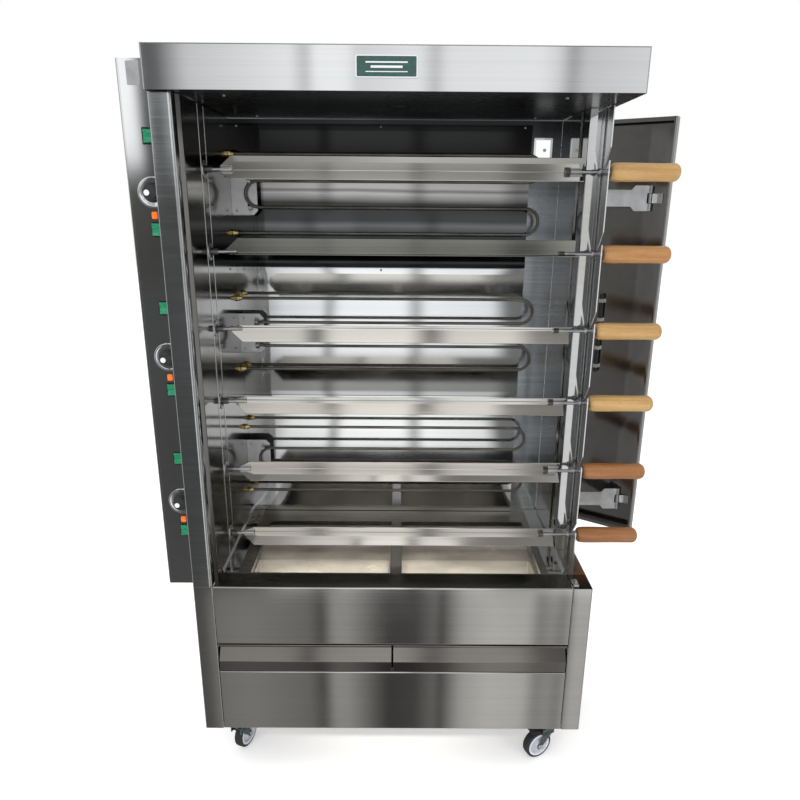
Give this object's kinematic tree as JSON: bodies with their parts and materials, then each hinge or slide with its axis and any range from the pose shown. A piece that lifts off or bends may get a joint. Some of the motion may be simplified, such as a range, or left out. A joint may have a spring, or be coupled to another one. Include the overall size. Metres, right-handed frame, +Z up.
{
  "type": "rotisserie oven",
  "caption": "Floor-standing electric rotisserie oven: open steel cabinet, driven V-blade spits with wooden handles, serpentine heaters, side control box, drip drawers, side door, castors.",
  "frame": {"origin": "bottom centre of the whole object's box, on the floor under the castors", "axes": "+Z up, +Y from the open front to the back, +X towards the spit handles and the side door"},
  "size_m": [1.291, 0.49, 1.777],
  "materials": {
    "stainless_sheet": "brushed stainless sheet, vertical or lengthwise grain",
    "polished_sheet": "bright polished stainless sheet",
    "element_sheath": "heat-darkened tube sheath",
    "handle_wood_light": "varnished light turned wood",
    "handle_wood_dark": "varnished darker turned wood",
    "black_plastic": "black moulded plastic",
    "green_switch": "green translucent moulded plastic",
    "orange_lens": "orange translucent lens",
    "zinc_casting": "zinc plated pressed steel and castings",
    "drive_steel": "oiled machined steel",
    "castor_tread": "dark rubber tread",
    "brass_fitting": "brass compression nuts",
    "badge_enamel": "plain teal enamel plate"
  },
  "bodies": {
    "cabinet": {"base_casing": "stainless_sheet", "deck": "stainless_sheet", "front_panel_upper": "stainless_sheet", "base_partition": "stainless_sheet", "left_casing": "stainless_sheet", "left_liner": "polished_sheet", "right_wall": "stainless_sheet", "spit_rest_plate": "stainless_sheet", "hood": "stainless_sheet", "back_panel": "stainless_sheet", "reflector_upper": "polished_sheet", "reflector_middle": "polished_sheet", "reflector_lower": "polished_sheet", "heating_element_upper": "element_sheath", "heating_element_middle": "element_sheath", "heating_element_lower": "element_sheath", "control_box": "stainless_sheet", "gearmotor": "drive_steel", "drive_chain": "drive_steel", "door_arm_upper": "zinc_casting", "door_arm_lower": "zinc_casting"},
    "drawer_left": {"drawer_left": "polished_sheet"},
    "drawer_right": {"drawer_right": "polished_sheet"},
    "spit_1": {"spit_1": "polished_sheet", "spit_handle_1": "handle_wood_light", "drive_socket_1": "drive_steel"},
    "spit_2": {"spit_2": "polished_sheet", "spit_handle_2": "handle_wood_light", "drive_socket_2": "drive_steel"},
    "spit_3": {"spit_3": "polished_sheet", "spit_handle_3": "handle_wood_light", "drive_socket_3": "drive_steel"},
    "spit_4": {"spit_4": "polished_sheet", "spit_handle_4": "handle_wood_light", "drive_socket_4": "drive_steel"},
    "spit_5": {"spit_5": "polished_sheet", "spit_handle_5": "handle_wood_dark", "drive_socket_5": "drive_steel"},
    "spit_6": {"spit_6": "polished_sheet", "spit_handle_6": "handle_wood_dark", "drive_socket_6": "drive_steel"},
    "knob_upper": {"knob_upper": "black_plastic"},
    "knob_middle": {"knob_middle": "black_plastic"},
    "knob_lower": {"knob_lower": "black_plastic"},
    "rocker_1": {"rocker_1": "green_switch"},
    "rocker_2": {"rocker_2": "green_switch"},
    "rocker_3": {"rocker_3": "green_switch"},
    "rocker_4": {"rocker_4": "green_switch"},
    "rocker_5": {"rocker_5": "green_switch"},
    "rocker_6": {"rocker_6": "green_switch"},
    "side_door": {"side_door": "polished_sheet", "door_latch": "black_plastic"},
    "fork_front_left": {"caster_fork_front_left": "zinc_casting"},
    "wheel_front_left": {"caster_wheel_front_left": "castor_tread"},
    "fork_front_right": {"caster_fork_front_right": "zinc_casting"},
    "wheel_front_right": {"caster_wheel_front_right": "castor_tread"},
    "fork_rear_left": {"caster_fork_rear_left": "zinc_casting"},
    "wheel_rear_left": {"caster_wheel_rear_left": "castor_tread"},
    "fork_rear_right": {"caster_fork_rear_right": "zinc_casting"},
    "wheel_rear_right": {"caster_wheel_rear_right": "castor_tread"}
  },
  "joints": [
    {"name": "drawer_left_slide", "type": "slide", "parent": "cabinet", "child": "drawer_left", "axis": [0, -1, 0], "range_m": [0, 0.33]},
    {"name": "drawer_right_slide", "type": "slide", "parent": "cabinet", "child": "drawer_right", "axis": [0, -1, 0], "range_m": [0, 0.33]},
    {"name": "spit_1_spin", "type": "hinge", "parent": "cabinet", "child": "spit_1", "pos_m": [-0.05747, -0.049, 1.5535], "axis": [1, 0, 0], "continuous": true},
    {"name": "spit_2_spin", "type": "hinge", "parent": "cabinet", "child": "spit_2", "pos_m": [-0.05747, -0.049, 1.3662], "axis": [1, 0, 0], "continuous": true},
    {"name": "spit_3_spin", "type": "hinge", "parent": "cabinet", "child": "spit_3", "pos_m": [-0.05747, -0.049, 1.1789], "axis": [1, 0, 0], "continuous": true},
    {"name": "spit_4_spin", "type": "hinge", "parent": "cabinet", "child": "spit_4", "pos_m": [-0.05747, -0.049, 0.9916], "axis": [1, 0, 0], "continuous": true},
    {"name": "spit_5_spin", "type": "hinge", "parent": "cabinet", "child": "spit_5", "pos_m": [-0.05747, -0.049, 0.8043], "axis": [1, 0, 0], "continuous": true},
    {"name": "spit_6_spin", "type": "hinge", "parent": "cabinet", "child": "spit_6", "pos_m": [-0.05747, -0.049, 0.617], "axis": [1, 0, 0], "continuous": true},
    {"name": "knob_upper_turn", "type": "hinge", "parent": "cabinet", "child": "knob_upper", "pos_m": [-0.59147, -0.1465, 1.5], "axis": [0, 1, 0], "range_deg": [0, 270]},
    {"name": "knob_middle_turn", "type": "hinge", "parent": "cabinet", "child": "knob_middle", "pos_m": [-0.59147, -0.1465, 1.128], "axis": [0, 1, 0], "range_deg": [0, 270]},
    {"name": "knob_lower_turn", "type": "hinge", "parent": "cabinet", "child": "knob_lower", "pos_m": [-0.59147, -0.1465, 0.756], "axis": [0, 1, 0], "range_deg": [0, 270]},
    {"name": "rocker_1_press", "type": "hinge", "parent": "cabinet", "child": "rocker_1", "pos_m": [-0.59147, -0.1415, 1.616], "axis": [1, 0, 0], "range_deg": [-7, 7]},
    {"name": "rocker_2_press", "type": "hinge", "parent": "cabinet", "child": "rocker_2", "pos_m": [-0.59147, -0.1415, 1.42], "axis": [1, 0, 0], "range_deg": [-7, 7]},
    {"name": "rocker_3_press", "type": "hinge", "parent": "cabinet", "child": "rocker_3", "pos_m": [-0.59147, -0.1415, 1.244], "axis": [1, 0, 0], "range_deg": [-7, 7]},
    {"name": "rocker_4_press", "type": "hinge", "parent": "cabinet", "child": "rocker_4", "pos_m": [-0.59147, -0.1415, 1.048], "axis": [1, 0, 0], "range_deg": [-7, 7]},
    {"name": "rocker_5_press", "type": "hinge", "parent": "cabinet", "child": "rocker_5", "pos_m": [-0.59147, -0.1415, 0.872], "axis": [1, 0, 0], "range_deg": [-7, 7]},
    {"name": "rocker_6_press", "type": "hinge", "parent": "cabinet", "child": "rocker_6", "pos_m": [-0.59147, -0.1415, 0.676], "axis": [1, 0, 0], "range_deg": [-7, 7]},
    {"name": "side_door_hinge", "type": "hinge", "parent": "cabinet", "child": "side_door", "pos_m": [0.59953, 0.11, 1], "axis": [0, 0, 1], "range_deg": [-118, 0]},
    {"name": "caster_front_left_swivel", "type": "hinge", "parent": "cabinet", "child": "fork_front_left", "pos_m": [-0.48447, -0.165, 0.1], "axis": [0, 0, 1], "continuous": true},
    {"name": "caster_front_left_roll", "type": "hinge", "parent": "fork_front_left", "child": "wheel_front_left", "pos_m": [-0.47435, -0.13997, 0.04], "axis": [-0.9272, 0.3746, 0], "continuous": true},
    {"name": "caster_front_right_swivel", "type": "hinge", "parent": "cabinet", "child": "fork_front_right", "pos_m": [0.36953, -0.165, 0.1], "axis": [0, 0, 1], "continuous": true},
    {"name": "caster_front_right_roll", "type": "hinge", "parent": "fork_front_right", "child": "wheel_front_right", "pos_m": [0.34506, -0.17641, 0.04], "axis": [0.4226, -0.9063, 0], "continuous": true},
    {"name": "caster_rear_left_swivel", "type": "hinge", "parent": "cabinet", "child": "fork_rear_left", "pos_m": [-0.48447, 0.185, 0.1], "axis": [0, 0, 1], "continuous": true},
    {"name": "caster_rear_left_roll", "type": "hinge", "parent": "fork_rear_left", "child": "wheel_rear_left", "pos_m": [-0.45827, 0.19153, 0.04], "axis": [-0.2419, 0.9703, 0], "continuous": true},
    {"name": "caster_rear_right_swivel", "type": "hinge", "parent": "cabinet", "child": "fork_rear_right", "pos_m": [0.36953, 0.185, 0.1], "axis": [0, 0, 1], "continuous": true},
    {"name": "caster_rear_right_roll", "type": "hinge", "parent": "fork_rear_right", "child": "wheel_rear_right", "pos_m": [0.34334, 0.19153, 0.04], "axis": [-0.2419, -0.9703, 0], "continuous": true}
  ],
  "couplings": [
    {"joint": "spit_2_spin", "follows": "spit_1_spin", "ratio": 1},
    {"joint": "spit_3_spin", "follows": "spit_1_spin", "ratio": 1},
    {"joint": "spit_4_spin", "follows": "spit_1_spin", "ratio": 1},
    {"joint": "spit_5_spin", "follows": "spit_1_spin", "ratio": 1},
    {"joint": "spit_6_spin", "follows": "spit_1_spin", "ratio": 1}
  ]
}
